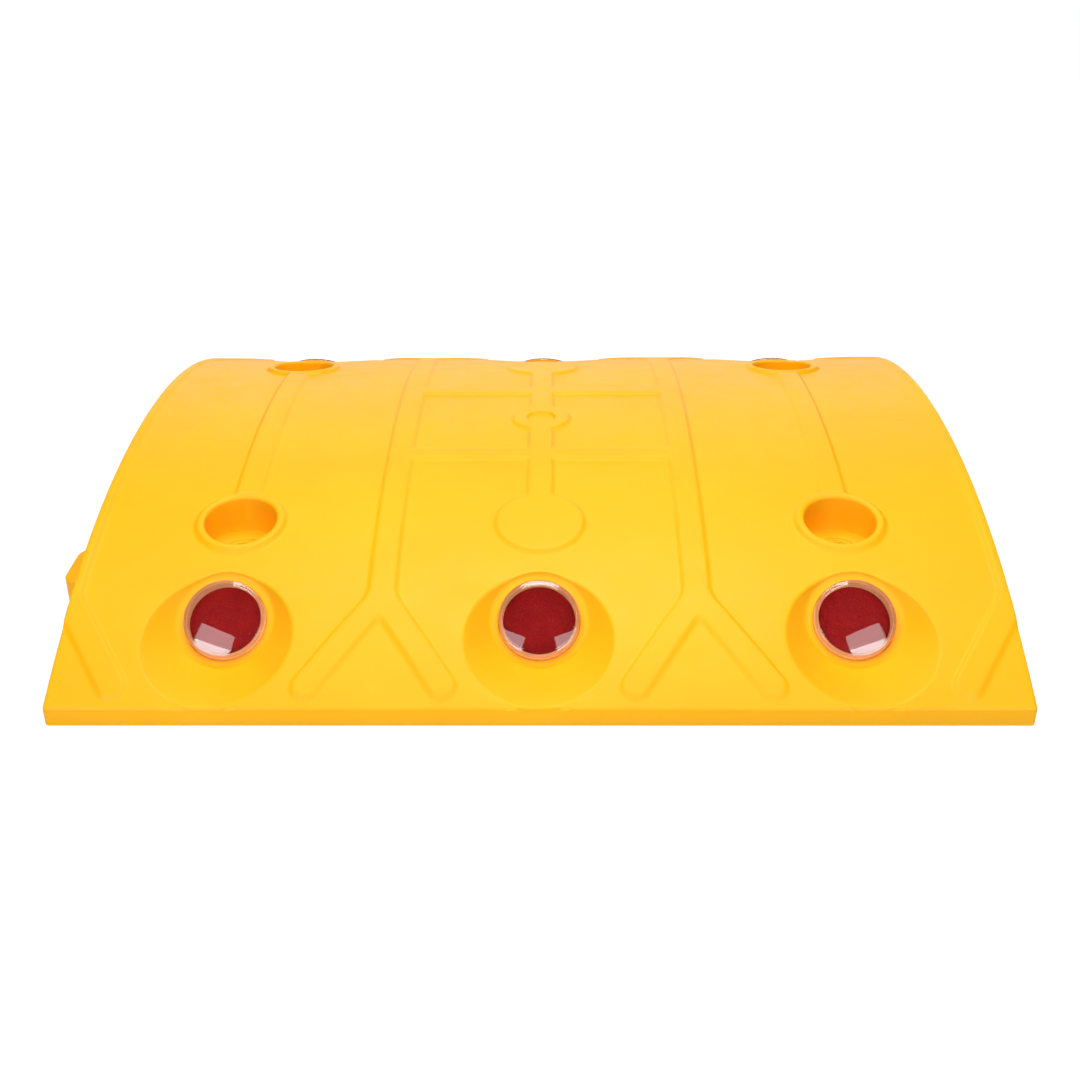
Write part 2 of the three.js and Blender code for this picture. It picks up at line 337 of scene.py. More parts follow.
def crease_height(turn):
    """Height above the seat at which the recess's cone comes out of the top surface."""
    low, high = 0.0, 60.0
    for _ in range(40):
        middle = (low + high) / 2
        _, y, z = cone_point(0, turn, middle)
        if z < arch(y):
            low = middle
        else:
            high = middle
    return low


def crease_table():
    """Plan angle, turn about the seat and height of points on the crease, for the half x >= 0."""
    rows = []
    for turn in np.linspace(math.pi / 2, -math.pi / 2, 181):
        height = crease_height(turn)
        x, y, _ = cone_point(0, turn, height)
        rows.append((math.atan2(y - CREASE_CENTRE_Y, max(x, 0)), turn, height))
    return np.array(rows)


CREASE = crease_table()


def crease_at(angle):
    """Turn and height of the crease, from the plan angle about the crease's middle."""
    x, y = math.cos(angle), math.sin(angle)
    folded = math.atan2(y, abs(x))
    turn = float(np.interp(folded, CREASE[:, 0], CREASE[:, 1]))
    height = float(np.interp(folded, CREASE[:, 0], CREASE[:, 2]))
    return (turn if x >= 0 else math.pi - turn), height


def recess_loop(column, first, last, count):
    """Where the rounding of the crease starts on the top surface, in plan."""
    loop = []
    for angle in np.linspace(first, last, count + 1):
        turn, height = crease_at(angle)
        x, y, _ = cone_point(column, turn, height)
        out = min(CREASE_ROUND, 0.5 * float(edge_distance(x, y)))
        loop.append((x + out * math.cos(angle), y + out * math.sin(angle)))
    return np.array(loop)


def curve(start, corner, end, shares=(0.25, 0.5, 0.75)):
    """Points on the rounding that leaves the start towards the corner and arrives at the end."""
    return [(1 - t) ** 2 * start + 2 * t * (1 - t) * corner + t**2 * end for t in shares]


def recess_column(point, column):
    """One strip of the recess, from a point of its loop down to the bottom of the pocket."""
    across, along = point[0] - column * BOLT_X, point[1] - CREASE_CENTRE_Y
    turn, height = crease_at(math.atan2(along, across))
    if abs(across) < 10 * SNAP:
        turn = math.copysign(math.pi / 2, -along)
    slant = math.hypot(1, math.tan(FLARE))
    lower = height - CREASE_ROUND / slant
    fillet = SEAT_FILLET / slant
    start = point + np.array([0, 0, edge_drop(point[0], point[1])])
    rows = curve(start, cone_point(column, turn, height), cone_point(column, turn, lower))
    rows += [cone_point(column, turn, level) for level in np.linspace(lower, fillet, 9)]
    ring = seat_point(column, turn, SEAT_RADIUS - SEAT_FILLET, 0)
    rows += curve(rows[-1], seat_point(column, turn, SEAT_RADIUS, 0), ring)
    rows.append(ring)
    for radius, level in (
        (POCKET_RADIUS + 0.5, 0),
        (POCKET_RADIUS + 0.15, -0.15),
        (POCKET_RADIUS, -0.5),
        (POCKET_RADIUS, 0.6 - POCKET_DEPTH),
        (POCKET_RADIUS - 0.2, 0.2 - POCKET_DEPTH),
        (POCKET_RADIUS - 0.6, -POCKET_DEPTH),
    ):
        rows.append(seat_point(column, turn, radius, level))
    rows = np.array(rows)
    rows[:, 2] -= edge_drop(rows[:, 0], rows[:, 1]) * (rows[:, 2] > LIP_HEIGHT / 2)
    return np.vstack([point, rows])


def bore_column(point):
    """One strip of a bolt hole, from its rim down to the underside."""
    away = np.array([point[0] - BOLT_X, point[1] - BOLT_Y])
    away = away / np.hypot(*away)
    levels = [(BORE_RADIUS, level) for level in np.linspace(point[2], BORE_FLOOR + 1.2, 5)]
    levels += [
        (BORE_RADIUS - 0.35, BORE_FLOOR + 0.35),
        (BORE_RADIUS - 1.2, BORE_FLOOR),
        (WASHER_RING_RADIUS + 0.3, BORE_FLOOR),
        (WASHER_RING_RADIUS, BORE_FLOOR - 0.15),
        (WASHER_RING_RADIUS - 0.2, BORE_FLOOR - WASHER_RING_DEPTH),
        (BOLT_HOLE_RADIUS + 0.5, BORE_FLOOR - WASHER_RING_DEPTH),
        (BOLT_HOLE_RADIUS, BORE_FLOOR - WASHER_RING_DEPTH - 0.5),
        (BOLT_HOLE_RADIUS, 0),
    ]
    rows = [(*(radius * away + (BOLT_X, BOLT_Y)), level) for radius, level in levels]
    rows[0] = tuple(point)
    return np.array(rows)


def wall_column(point):
    """One strip of the upright outside, from the rounded edge down to the underside."""
    x, y, z = point
    past = np.array([x - (HALF_LENGTH - CORNER_ROUND), y - (HALF_DEPTH - CORNER_ROUND)])
    if past.min() > 0:
        out = past / np.hypot(*past)
    else:
        out = np.array([1.0, 0.0]) if past[0] > past[1] else np.array([0.0, 1.0])
    rows = [(x, y, z), (x, y, FOOT_ROUND)]
    for turn in (math.pi / 6, math.pi / 3, math.pi / 2):
        inset = FOOT_ROUND * (1 - math.cos(turn))
        rows.append((x - inset * out[0], y - inset * out[1], FOOT_ROUND * (1 - math.sin(turn))))
    return np.array(rows)


# ---- one quarter of the moulding ----------------------------------------------------------------

def inside_loop(points, loop):
    """Which points lie inside the closed loop."""
    found = np.zeros(len(points), bool)
    for a, b in zip(loop, np.roll(loop, -1, axis=0)):
        crosses = (a[1] > points[:, 1]) != (b[1] > points[:, 1])
        rise = b[1] - a[1] if b[1] != a[1] else 1.0
        found ^= crosses & (points[:, 0] < a[0] + (points[:, 1] - a[1]) * (b[0] - a[0]) / rise)
    return found


def near_recess(points, margin):
    """Which plan points lie within the margin of a recess."""
    reach = HALF_DEPTH - CREASE_CENTRE_Y + CREASE_ROUND + margin
    middle, side = (disc(*points.T, (x, CREASE_CENTRE_Y), reach) < 0 for x in (0, BOLT_X))
    return middle | side


def past_bore(points, margin):
    """Which plan points lie clear of the bolt hole's rounded rim."""
    return disc(*points.T, (BOLT_X, BOLT_Y), BORE_RADIUS) > RIM_ROUND + margin


def quarter_plan():
    """The plan of one quarter, with the loops round its three holes."""
    loops = {
        "middle": recess_loop(0, math.pi / 2, -math.pi / 2, RECESS_STEPS // 2),
        "side": recess_loop(1, -math.pi, math.pi, RECESS_STEPS)[:-1],
        "bore": circle((BOLT_X, BOLT_Y), BORE_RADIUS, BORE_STEPS)[:-1],
    }
    loops["middle"][[0, -1], 0] = 0
    plan = Plan()
    plan.add(loops["middle"])
    for name in ("side", "bore"):
        plan.add(np.vstack([loops[name], loops[name][:1]]))

    levels = [share * SLOPE_WIDTH / 2 for share in SLOPE_SHARES]
    for level in levels:
        for line in level_lines(rib_distance, level):
            line = evenly(line, LINE_STEP)
            in_outline = edge_distance(*line.T) > -1e-6
            plan.add(line, past_bore(line, LINE_CLEARANCE) & in_outline & ~near_recess(line, 0.0))
        collar = circle((BOLT_X, BOLT_Y), COLLAR_RADIUS + level, BORE_STEPS)
        plan.add(collar, rib_distance(*collar.T) < levels[0] - 1)
        radius = DIMPLE_RADIUS + level * DIMPLE_SLOPE / SLOPE_WIDTH
        dimple = circle((0, 0), radius, DIMPLE_STEPS, 0, math.pi / 2)
        dimple[np.abs(dimple) < 1e-9] = 0
        plan.add(dimple)

    for share in RIM_SHARES:
        plan.add(circle((BOLT_X, BOLT_Y), BORE_RADIUS + share * RIM_ROUND, BORE_STEPS))
    for share in EDGE_SHARES:
        line = inset_outline(share * EDGE_ROUND)
        plan.add(line, None if share == 0 else ~near_recess(line, LINE_CLEARANCE))

    xs = np.linspace(0, HALF_LENGTH, round(HALF_LENGTH / GRID_STEP) + 1)
    ys = np.linspace(0, HALF_DEPTH, round(HALF_DEPTH / GRID_STEP) + 1)
    grid = np.stack(np.meshgrid(xs, ys), axis=-1).reshape(-1, 2)
    off_edge = edge_distance(*grid.T) > EDGE_ROUND + GRID_CLEARANCE
    off_rib = np.abs(rib_distance(*grid.T)) > levels[-1] + SLOPE_CLEARANCE
    clear = past_bore(grid, GRID_CLEARANCE) & ~near_recess(grid, GRID_CLEARANCE)
    plan.points += [Vector(point) for point in grid[clear & off_edge & off_rib]]
    return plan, loops


def border_edges(faces):
    """Edges that belong to one face only, in the order in which that face runs along them."""
    directed = np.vstack([faces[:, [0, 1]], faces[:, [1, 2]], faces[:, [2, 0]]])
    ordered = np.sort(directed, axis=1)
    _, which, count = np.unique(ordered, axis=0, return_inverse=True, return_counts=True)
    return directed[count[which.ravel()] == 1]


class Sheet:
    """Vertices and faces collected for one mesh."""

    def __init__(self):
        self.points = []
        self.faces = []

    def add_points(self, points):
        """Adds vertices and returns their places."""
        first = len(self.points)
        self.points += [tuple(point) for point in points]
        return range(first, len(self.points))

    def add_strips(self, edges, points, column_of):
        """Walls hanging from border edges, one column of points below each border vertex."""
        columns = {k: self.add_points(column_of(points[k])) for k in set(edges.ravel().tolist())}
        for a, b in edges.tolist():
            left, right = columns[a], columns[b]
            for k in range(len(left) - 1):
                self.faces.append((right[k], left[k], left[k + 1], right[k + 1]))
        return {k: column[-1] for k, column in columns.items()}


def quarter():
    """The quarter x >= 0, y >= 0 of the moulding, open at the two planes of symmetry."""
    plan, loops = quarter_plan()
    flat, faces = plan.triangles()
    flat[np.abs(flat) < SNAP] = 0
    middles = flat[faces].mean(axis=1)
    hole = np.any([inside_loop(middles, loop) for loop in loops.values()], axis=0)
    faces = faces[~hole]
    points = np.column_stack([flat, surface(*flat.T)])

    sheet = Sheet()
    sheet.add_points(points)
    sheet.faces += [tuple(face) for face in faces.tolist()]

    edges = border_edges(faces)
    middle = flat[edges].mean(axis=1)
    on_seam = (flat[edges] == 0).all(axis=1).any(axis=1)
    on_edge = ~on_seam & (edge_distance(*middle.T) < 0.05)
    on_bore = np.abs(disc(*middle.T, (BOLT_X, BOLT_Y), BORE_RADIUS)) < 0.1
    in_recess = ~(on_seam | on_edge | on_bore)
    on_middle = in_recess & (middle[:, 0] < BOLT_X / 2)
    on_side = in_recess & ~on_middle

    bottoms = sheet.add_strips(edges[on_edge], points, wall_column)
    bottoms.update(sheet.add_strips(edges[on_bore], points, bore_column))
    for column, chosen in ((0, edges[on_middle]), (1, edges[on_side])):
        lowest = sheet.add_strips(chosen, points, lambda point: recess_column(point, column))
        centre = sheet.add_points([seat_point(column, 0, 0, -POCKET_DEPTH)])[0]
        sheet.faces += [(lowest[b], lowest[a], centre) for a, b in chosen.tolist()]
    add_underside(sheet, edges[on_edge | on_bore], bottoms)
    return np.array(sheet.points), sheet.faces


def add_underside(sheet, edges, bottoms):
    """The flat face on the road, up to the foot of the walls and of the bolt hole."""
    plan = Plan()
    plan.points = [Vector((0, 0))]
    place = {}
    for k, bottom in bottoms.items():
        place[k] = len(plan.points)
        plan.points.append(Vector(sheet.points[bottom][:2]))
    plan.lines = [(place[a], place[b]) for a, b in edges.tolist()]
    flat, faces = plan.triangles()
    loop = circle((BOLT_X, BOLT_Y), BOLT_HOLE_RADIUS, BORE_STEPS)[:-1]
    hole = inside_loop(flat[faces].mean(axis=1), loop)
    added = sheet.add_points([(x, y, 0) for x, y in flat])
    sheet.faces += [tuple(added[k] for k in reversed(face)) for face in faces[~hole].tolist()]


# ---- meshes -------------------------------------------------------------------------------------

def make_object(name, points, faces):
    """A mesh object in metres from points in millimetres."""
    mesh = bpy.data.meshes.new(name)
    mesh.from_pydata([(x * MM, y * MM, z * MM) for x, y, z in points], [], faces)
    made = bpy.data.objects.new(name, mesh)
    bpy.context.scene.collection.objects.link(made)
    return made


def welded(made):
    """Joins vertices that lie together and turns every face outwards."""
    work = bmesh.new()
    work.from_mesh(made.data)
    bmesh.ops.remove_doubles(work, verts=work.verts, dist=WELD)
    bmesh.ops.dissolve_degenerate(work, edges=work.edges, dist=1e-7)
    bmesh.ops.recalc_face_normals(work, faces=work.faces)
    work.to_mesh(made.data)
    work.free()
    return made


def combined(target, tool, operation):
    """Applies a boolean and removes the tool."""
    modifier = target.modifiers.new("cut", "BOOLEAN")
    modifier.object = tool
    modifier.operation = operation
    modifier.solver = "MANIFOLD"
    graph = bpy.context.evaluated_depsgraph_get()
    made = bpy.data.meshes.new_from_object(target.evaluated_get(graph))
    target.modifiers.clear()
    old = target.data
    target.data = made
    bpy.data.meshes.remove(old)
    bpy.data.objects.remove(tool)
    return target


def smoothed(made):
    made.data.shade_smooth()
    made.data.set_sharp_from_angle(angle=math.radians(SMOOTH_ANGLE))
    return made


def rounded_rectangle(x0, x1, y0, y1):
    """Corner points of an upright prism's plan, anticlockwise."""
    outline = []
    corners = ((x1, y0, -0.5), (x1, y1, 0), (x0, y1, 0.5), (x0, y0, 1))
    for x, y, first in corners:
        cx = x - math.copysign(CELL_CORNER, x - (x0 + x1) / 2)
        cy = y - math.copysign(CELL_CORNER, y - (y0 + y1) / 2)
        turns = (first * math.pi, (first + 0.5) * math.pi)
        outline += circle((cx, cy), CELL_CORNER, 4, *turns).tolist()
    return outline


def add_prism(sheet, outline, low, roof):
    """An upright prism over an anticlockwise outline; roof(x, y) gives the height of its top."""
    count = len(outline)
    middle = np.mean(outline, axis=0)
    bottom = sheet.add_points([(x, y, low) for x, y in outline])
    top = sheet.add_points([(x, y, roof(x, y)) for x, y in outline])
    base, peak = sheet.add_points([(*middle, low), (*middle, roof(*middle))])
    for k in range(count):
        n = (k + 1) % count
        sheet.faces += [
            (bottom[k], bottom[n], top[n], top[k]),
            (bottom[n], bottom[k], base),
            (top[k], top[n], peak),
        ]


def underside_cells():
    """The hollow cells between the webs, as one tool to cut with."""
    cells = Sheet()
    columns, rows = round(HALF_LENGTH / CELL_X), math.ceil(LAST_CELL_Y / CELL_Y)
    for column in range(-columns, columns):
        x0 = max(column * CELL_X + WEB / 2, WALL - HALF_LENGTH)
        x1 = min((column + 1) * CELL_X - WEB / 2, HALF_LENGTH - WALL)
        for row in range(-rows, rows):
            y0 = max(row * CELL_Y + WEB / 2, -LAST_CELL_Y)
            y1 = min((row + 1) * CELL_Y - WEB / 2, LAST_CELL_Y)
            outline = rounded_rectangle(x0, x1, y0, y1)
            add_prism(cells, outline, -1.0, lambda x, y: float(arch(y)) - WALL)
    return make_object("cells", cells.points, cells.faces)


def kept_solid():
    """What stays solid between the webs: bolt pillars, the skin of each recess, socket walls."""
    kept = Sheet()
    for end in (-1, 1):
        for side in (-1, 1):
            pillar = circle((side * BOLT_X, end * BOLT_Y), COLLAR_RADIUS, PILLAR_STEPS)[:-1]
            add_prism(kept, pillar.tolist(), -2.0, lambda x, y: CREST_HEIGHT)
        half = TONGUE["width"] / 2 + SOCKET_PLAY + WALL
        inner = HALF_LENGTH - TONGUE["reach"] - SOCKET_PLAY - WALL
        middle = end * TONGUE["y"]
        outline = rounded_rectangle(inner, HALF_LENGTH, middle - half, middle + half)
        add_prism(kept, outline, -2.0, lambda x, y: CREST_HEIGHT)
    mouth = SEAT_RADIUS + WALL / math.cos(FLARE)
    profile = [
        (POCKET_RADIUS + WALL, -POCKET_DEPTH - WALL),
        (POCKET_RADIUS + WALL, 0),
        (mouth, 0),
        (mouth + 40 * math.tan(FLARE), 40),
    ]
    for column in (-1, 0, 1):
        for end in (-1, 1):
            add_lathe(kept, profile, column, end, RECESS_SKIN_STEPS)
    return make_object("kept", kept.points, kept.faces)


def add_lathe(sheet, profile, column, end, count):
    """A closed turned body on a reflector's axis; its profile runs from its bottom to its top."""
    flip = np.array([1, end, 1])
    turns = np.arange(count) * 2 * math.pi / count
    rings = []
    for radius, height in profile:
        ring = [flip * seat_point(column, turn, radius, height) for turn in turns]
        rings.append(sheet.add_points(ring))
    base = sheet.add_points([flip * seat_point(column, 0, 0, profile[0][1])])[0]
    peak = sheet.add_points([flip * seat_point(column, 0, 0, profile[-1][1])])[0]
    for k in range(count):
        n = (k + 1) % count
        faces = [(base, rings[0][n], rings[0][k]), (peak, rings[-1][k], rings[-1][n])]
        for lower, upper in zip(rings, rings[1:]):
            faces.append((lower[k], lower[n], upper[n], upper[k]))
        sheet.faces += [face if end > 0 else face[::-1] for face in faces]


def tongue_outline(end, grow):
    """A tongue's plan, anticlockwise, grown all round except at its root."""
    root, tip = WALL - HALF_LENGTH, -HALF_LENGTH - TONGUE["reach"] - grow
    half, corner = TONGUE["width"] / 2 + grow, TONGUE["corner"] + grow
    middle = end * TONGUE["y"]
    outline = [(root, middle - half), (root, middle + half)]
    for side, first in ((1, 0.5), (-1, 1)):
        centre = (tip + corner, middle + side * (half - corner))
        turns = (first * math.pi, (first + 0.5) * math.pi)
        outline += circle(centre, corner, TONGUE_STEPS, *turns).tolist()
    return outline


def tongues():
    """Both tongues, with a rounded upper edge."""
    made = Sheet()
    for end in (-1, 1):
        rings = []
        for inset, level in ((TONGUE_FOOT, 0), (0, TONGUE_FOOT)):
            rings.append([(x, y, level) for x, y in tongue_outline(end, -inset)])
        for turn in np.linspace(0, math.pi / 2, 5):
            inset = EDGE_ROUND * (1 - math.cos(turn))
            level = TONGUE["height"] - EDGE_ROUND * (1 - math.sin(turn))
            rings.append([(x, y, level) for x, y in tongue_outline(end, -inset)])
        rings = [made.add_points(ring) for ring in rings]
        count = len(rings[0])
        for lower, upper in zip(rings, rings[1:]):
            for k in range(count):
                n = (k + 1) % count
                made.faces.append((lower[k], lower[n], upper[n], upper[k]))
        made.faces += [tuple(reversed(rings[0])), tuple(rings[-1])]
    return welded(make_object("tongues", made.points, made.faces))


def sockets():
    """What the next module's tongues need in the right side face, as one tool to cut with."""
    made = Sheet()
    for end in (-1, 1):
        outline = [(x + 2 * HALF_LENGTH, y) for x, y in tongue_outline(end, SOCKET_PLAY)]
        add_prism(made, outline, -1.0, lambda x, y: TONGUE["height"] + SOCKET_PLAY)
    return welded(make_object("sockets", made.points, made.faces))


def moulded_body():
    """The whole moulding: four mirrored quarters, hollowed from below, with tongues and sockets."""
    points, faces = quarter()
    all_points, all_faces = [], []
    for part, (sx, sy) in enumerate(((1, 1), (1, -1), (-1, 1), (-1, -1))):
        first = part * len(points)
        all_points.append(points * (sx, sy, 1))
        all_faces += [tuple(k + first for k in face[:: sx * sy]) for face in faces]
    body = welded(make_object("moulded_body", np.vstack(all_points), all_faces))
    cells = combined(welded(underside_cells()), welded(kept_solid()), "DIFFERENCE")
    body = combined(body, cells, "DIFFERENCE")
    body = combined(body, tongues(), "UNION")
    body = combined(body, sockets(), "DIFFERENCE")
    return smoothed(body)


# ---- reflector pieces ---------------------------------------------------------------------------

GAP = 0.3
BACKING_BOTTOM, BACKING_FLANGE = -7.4, 1.5
LENS_RADIUS, LENS_SKIRT_TOP, LENS_CROWN, LENS_WALL = POCKET_RADIUS - GAP, 4.2, 3.8, 2.0
LENS_BOTTOM = BACKING_BOTTOM + BACKING_FLANGE + GAP
LENS_SHOULDER = 1.2
FILM_TOP, FILM_THICKNESS = -3.5, 0.6
FILM_RADIUS = LENS_RADIUS - LENS_WALL - GAP
SKIRT_EDGE = LENS_SKIRT_TOP - 0.6  # height at which the skirt gives way to the clear dome
SKIRT_FADE = 0.8  # height over which it does so
SKIRT_RADIUS = LENS_RADIUS - LENS_WALL - 0.1  # nothing nearer to the axis belongs to the skirt
NEAR_AXIS = 0.5  # radius at which a profile closes towards the axis


def turned(name, profile, column, end):
    """A turned piece; its profile starts and ends near the axis."""
    made = Sheet()
    add_lathe(made, profile, column, end, TURNED_STEPS)
    return smoothed(welded(make_object(name, made.points, made.faces)))


def mark_skirt(lens, column, end):
    """Stores how far each vertex of a lens belongs to its skirt, for the material."""
    origin = np.array([column * BOLT_X, end * SEAT_Y, SEAT_Z]) * MM
    out = SEAT_OUT * (1, end, 1)
    places = np.array([vertex.co[:] for vertex in lens.data.vertices]) - origin
    heights = places @ out / MM
    share = np.clip((SKIRT_EDGE - heights) / SKIRT_FADE, 0, 1)
    radii = np.linalg.norm(places - np.outer(places @ out, out), axis=1) / MM
    share[radii < SKIRT_RADIUS] = 0
    # the skirt share also carries the lens material's painted peach tint and glow
    layer = lens.data.attributes.new("skirt", "FLOAT", "POINT")
    layer.data.foreach_set("value", share.astype(np.float32))


def rounded_corner(before, corner, after, size, count=3):
    """Points that round one corner of a profile."""
    before, corner, after = (np.array(point, float) for point in (before, corner, after))
    start = corner + (before - corner) * size / np.hypot(*(before - corner))
    end = corner + (after - corner) * size / np.hypot(*(after - corner))
    shares = np.linspace(0, 1, count + 2)
    return [tuple(point) for point in curve(start, corner, end, shares)]


def softened(profile, sizes):
    """The profile with each inner corner rounded by its size."""
    points = [profile[0]]
    for k in range(1, len(profile) - 1):
        if sizes[k] > 0:
            points += rounded_corner(profile[k - 1], profile[k], profile[k + 1], sizes[k])
        else:
            points.append(profile[k])
    points.append(profile[-1])
    return points


def backing_profile():
    platform = FILM_TOP - FILM_THICKNESS - GAP
    profile = [
        (NEAR_AXIS, BACKING_BOTTOM),
        (LENS_RADIUS, BACKING_BOTTOM),
        (LENS_RADIUS, BACKING_BOTTOM + BACKING_FLANGE),
        (FILM_RADIUS, BACKING_BOTTOM + BACKING_FLANGE),
        (FILM_RADIUS, platform),
        (NEAR_AXIS, platform),
    ]
    return softened(profile, (0, 0.3, 0.25, 0.2, 0.2, 0))


def film_profile():
    profile = [
        (NEAR_AXIS, FILM_TOP - FILM_THICKNESS),
        (FILM_RADIUS, FILM_TOP - FILM_THICKNESS),
        (FILM_RADIUS, FILM_TOP),
        (NEAR_AXIS, FILM_TOP),
    ]
    return softened(profile, (0, 0.1, 0.1, 0))


def dome_points(sphere, rim, top):
    """Points on a dome of the given sphere radius, from its rim to its crown at the height top."""
    leans = math.asin(rim / sphere) * np.linspace(1, 0.02, DOME_STEPS)
    return [(sphere * math.sin(lean), top - sphere * (1 - math.cos(lean))) for lean in leans]


def lens_profile():
    """A thin-walled domed cap, open below, with a rounded shoulder."""
    inner = LENS_RADIUS - LENS_WALL
    sphere = (LENS_RADIUS**2 + LENS_CROWN**2) / (2 * LENS_CROWN)
    top = LENS_SKIRT_TOP + LENS_CROWN
    inside = dome_points(sphere - LENS_WALL, inner, top - LENS_WALL)
    outside = dome_points(sphere, LENS_RADIUS, top)
    foot_inside, foot_outside = (inner, LENS_BOTTOM), (LENS_RADIUS, LENS_BOTTOM)
    inner_shoulder = rounded_corner(inside[2], inside[0], foot_inside, LENS_SHOULDER / 2)
    shoulder = rounded_corner(foot_outside, outside[0], outside[3], LENS_SHOULDER, 6)
    return [
        *inside[:1:-1],
        *inner_shoulder,
        (inner, LENS_BOTTOM + 0.2),
        (inner + 0.2, LENS_BOTTOM),
        (LENS_RADIUS - 0.3, LENS_BOTTOM),
        (LENS_RADIUS, LENS_BOTTOM + 0.3),
        *shoulder,
        *outside[3:],
    ]


COLUMNS = {-1: "left", 0: "middle", 1: "right"}
ENDS = {-1: "front", 1: "rear"}


# ---- materials ----------------------------------------------------------------------------------

# strength of the painted glow on the lens skirt, standing in for light from the yellow recess
SKIRT_PAINTED_GLOW = 0.2
FLOOR_GLOW = 1.0


class Nodes:
    """A material's node tree, with short calls to add to it."""

    def __init__(self, name):
        self.material = bpy.data.materials.new(name)
        self.material.use_nodes = True
        self.tree = self.material.node_tree
        self.shader = self.tree.nodes["Principled BSDF"]
        self.position = self.add("ShaderNodeTexCoord").outputs["Object"]

    def add(self, kind, **values):
        node = self.tree.nodes.new(kind)
        for key, value in values.items():
            setattr(node, key, value)
        return node

    def link(self, source, target):
        self.tree.links.new(source, target)

    def set(self, **values):
        for key, value in values.items():
            self.shader.inputs[key.replace("_", " ")].default_value = value

    def noise(self, scale, detail=3.0, roughness=0.5):
        node = self.add("ShaderNodeTexNoise")
        node.inputs["Scale"].default_value = scale
        node.inputs["Detail"].default_value = detail
        node.inputs["Roughness"].default_value = roughness
        self.link(self.position, node.inputs["Vector"])
        return node.outputs["Fac"]

    def cells(self, scale, feature="F1"):
        node = self.add("ShaderNodeTexVoronoi", feature=feature)
        node.inputs["Scale"].default_value = scale
        self.link(self.position, node.inputs["Vector"])
        return node.outputs["Distance"]

    def remap(self, value, low, high, to_low, to_high):
        node = self.add("ShaderNodeMapRange")
        self.link(value, node.inputs["Value"])
        ends = {"From Min": low, "From Max": high, "To Min": to_low, "To Max": to_high}
        for key, number in ends.items():
            node.inputs[key].default_value = number
        return node.outputs["Result"]

    def mix(self, share, first, second):
        node = self.add("ShaderNodeMix", data_type="RGBA")
        self.link(share, node.inputs["Factor"])
        for key, colour in (("A", first), ("B", second)):
            socket = next(s for s in node.inputs if s.name == key and s.type == "RGBA")
            if isinstance(colour, tuple):
                socket.default_value = (*colour, 1)
            else:
                self.link(colour, socket)
        return next(s for s in node.outputs if s.type == "RGBA")

    def bump(self, height, strength, distance, normal=None):
        node = self.add("ShaderNodeBump")
        node.inputs["Strength"].default_value = strength
        node.inputs["Distance"].default_value = distance
        self.link(height, node.inputs["Height"])
        if normal is not None:
            self.link(normal, node.inputs["Normal"])
        return node.outputs["Normal"]

    def finish(self, colour=None, roughness=None, normal=None):
        if colour is not None:
            self.link(colour, self.shader.inputs["Base Color"])
        if roughness is not None:
            self.link(roughness, self.shader.inputs["Roughness"])
        if normal is not None:
            self.link(normal, self.shader.inputs["Normal"])
        return self.material


def yellow_moulding():
    """Satin polymer, coloured through: faint mottling, a fine mould grain and handling scuffs."""
    nodes = Nodes("yellow_moulding")
    nodes.set(IOR=1.5, Specular_IOR_Level=0.15)
    mottle = nodes.remap(nodes.noise(14, 4, 0.55), 0.3, 0.7, 0, 1)
    colour = nodes.mix(mottle, (0.935, 0.43, 0.0025), (0.955, 0.46, 0.004))
    scuff = nodes.remap(nodes.noise(90, 5, 0.7), 0.62, 0.8, 0, 0.35)
    colour = nodes.mix(scuff, colour, (0.96, 0.5, 0.012))
    roughness = nodes.remap(nodes.noise(60, 4, 0.6), 0.3, 0.7, 0.4, 0.52)
    grain = nodes.bump(nodes.noise(1500, 2, 0.5), 0.12, 0.0002)
    waves = nodes.bump(nodes.noise(28, 2, 0.4), 0.08, 0.002, grain)
    return nodes.finish(colour, roughness, waves)


def clear_lens():
    """Polished clear plastic, hairline marks; its milky skirt has a painted peach tint and glow."""
    nodes = Nodes("clear_lens")
    nodes.set(IOR=1.49)
    skirt = nodes.add("ShaderNodeAttribute", attribute_name="skirt").outputs["Fac"]
    nodes.link(nodes.remap(skirt, 0, 1, 1, 0.1), nodes.shader.inputs["Transmission Weight"])
    # painted glow: the skirt emits peach light though it is no lamp, standing in for light from the
    # yellow recess
    nodes.link(nodes.remap(skirt, 0, 1, 0, SKIRT_PAINTED_GLOW), nodes.shader.inputs["Emission Strength"])
    nodes.shader.inputs["Emission Color"].default_value = (0.8, 0.5, 0.26, 1)
    # painted light: the skirt's peach tint stands in for yellow light from the recess
    colour = nodes.mix(skirt, (1, 0.985, 0.975), (0.85, 0.5, 0.26))
    marks = nodes.remap(nodes.noise(220, 3, 0.6), 0.55, 0.8, 0.015, 0.06)
    matte = nodes.add("ShaderNodeMath", operation="MULTIPLY_ADD")
    nodes.link(skirt, matte.inputs[0])
    matte.inputs[1].default_value = 0.4
    nodes.link(marks, matte.inputs[2])
    normal = nodes.bump(nodes.noise(70, 2, 0.5), 0.04, 0.0005)
    return nodes.finish(colour, matte.outputs["Value"], normal)


def red_film():
    """Red retroreflective sheeting: small sealed cells, darker patches, and specks of dust."""
    nodes = Nodes("red_film")
    nodes.set(IOR=1.5, Specular_IOR_Level=0.12)
    cell = nodes.remap(nodes.cells(700, "DISTANCE_TO_EDGE"), 0.0, 0.14, 0, 1)
    colour = nodes.mix(cell, (0.28, 0.007, 0.009), (0.52, 0.013, 0.015))
    cloud = nodes.remap(nodes.noise(150, 4, 0.65), 0.4, 0.7, 0, 0.6)
    colour = nodes.mix(cloud, colour, (0.31, 0.006, 0.008))
    dust = nodes.remap(nodes.cells(75), 0.0, 0.05, 0.7, 0)
    colour = nodes.mix(dust, colour, (0.9, 0.5, 0.45))
    roughness = nodes.remap(cell, 0, 1, 0.6, 0.45)
    return nodes.finish(colour, roughness, nodes.bump(cell, 0.2, 0.0001))


